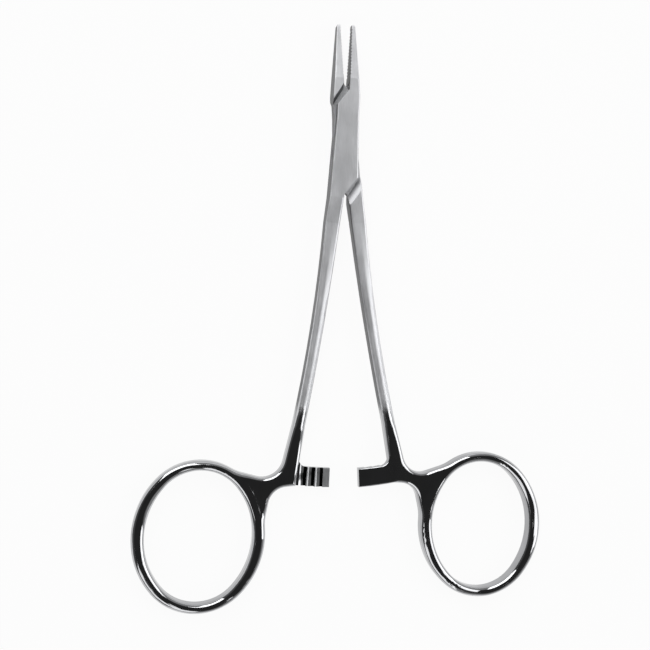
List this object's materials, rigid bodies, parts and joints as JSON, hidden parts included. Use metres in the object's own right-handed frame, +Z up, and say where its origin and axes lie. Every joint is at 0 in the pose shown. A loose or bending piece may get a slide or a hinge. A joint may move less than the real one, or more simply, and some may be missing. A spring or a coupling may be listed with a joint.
{
  "type": "surgical needle holder",
  "caption": "Slim ring-handled needle holder with a box lock, tapered serrated jaws, bowed shanks and a ratchet between the handles, shown slightly open.",
  "frame": {"origin": "on the pivot axis, in the plane of the lock's underside, which the instrument lies on", "axes": "+Y from the pivot to the jaw tips, +X to the right seen from above, +Z up along the pivot pin"},
  "size_m": [0.0924, 0.1276, 0.0042],
  "materials": {
    "half_steel": "satin jaws, lock and shanks, mirror-polished finger rings and ratchet",
    "pin_steel": "satin, ground flush with the lock"
  },
  "bodies": {
    "box_body": {"box_half": "half_steel", "hinge_pin": "pin_steel"},
    "tongue_body": {"tongue_half": "half_steel"}
  },
  "joints": [
    {"name": "lock_pivot", "type": "hinge", "parent": "box_body", "child": "tongue_body", "pos_m": [0, 0, 0.0021], "axis": [0, 0, 1], "range_deg": [-5.5, 54.5]}
  ]
}
